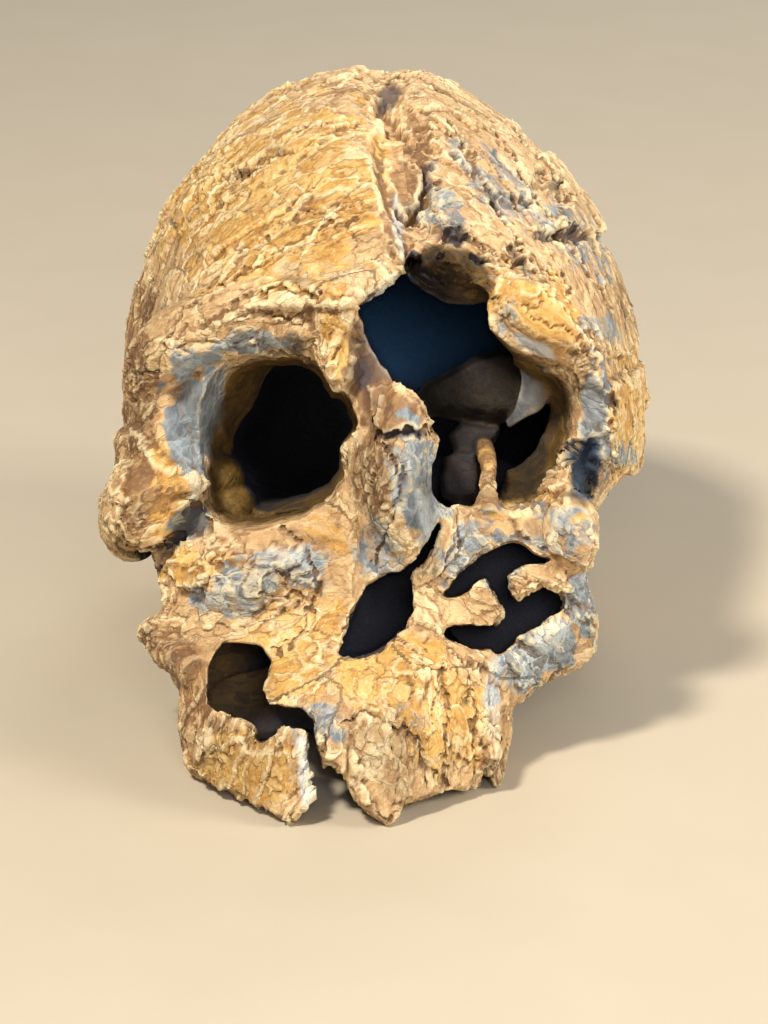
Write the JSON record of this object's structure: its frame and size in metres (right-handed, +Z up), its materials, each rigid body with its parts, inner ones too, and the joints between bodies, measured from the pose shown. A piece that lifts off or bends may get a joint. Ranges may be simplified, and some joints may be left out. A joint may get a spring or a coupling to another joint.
{
  "type": "fossil hominin skull",
  "caption": "Life-size cranium of a flat-faced early hominin, pieced together from cracked bone, with broken brow, cheeks and tooth sockets.",
  "frame": {"origin": "on the floor, below the centre of the resting skull's bounding box", "axes": "+Z up from the floor, +Y from the face to the back of the skull, +X to the skull's own left"},
  "size_m": [0.129, 0.1976, 0.1333],
  "materials": {
    "ochre_bone": "matt, cracked and flaking",
    "tan_bone": "matt, cracked and flaking",
    "grey_bone": "matt, with pale cracks"
  },
  "bodies": {
    "root": {"frontal_right": "ochre_bone", "frontal_left": "tan_bone", "parietal_right": "ochre_bone", "parietal_left": "tan_bone", "occipital": "tan_bone", "temporal_right": "ochre_bone", "temporal_left": "tan_bone", "skull_base": "grey_bone", "zygomatic_right": "ochre_bone", "zygomatic_left": "tan_bone", "nasal": "grey_bone", "maxilla_right": "ochre_bone", "maxilla_left": "grey_bone", "tooth_sockets_right": "ochre_bone", "tooth_sockets_left": "ochre_bone"}
  },
  "joints": []
}
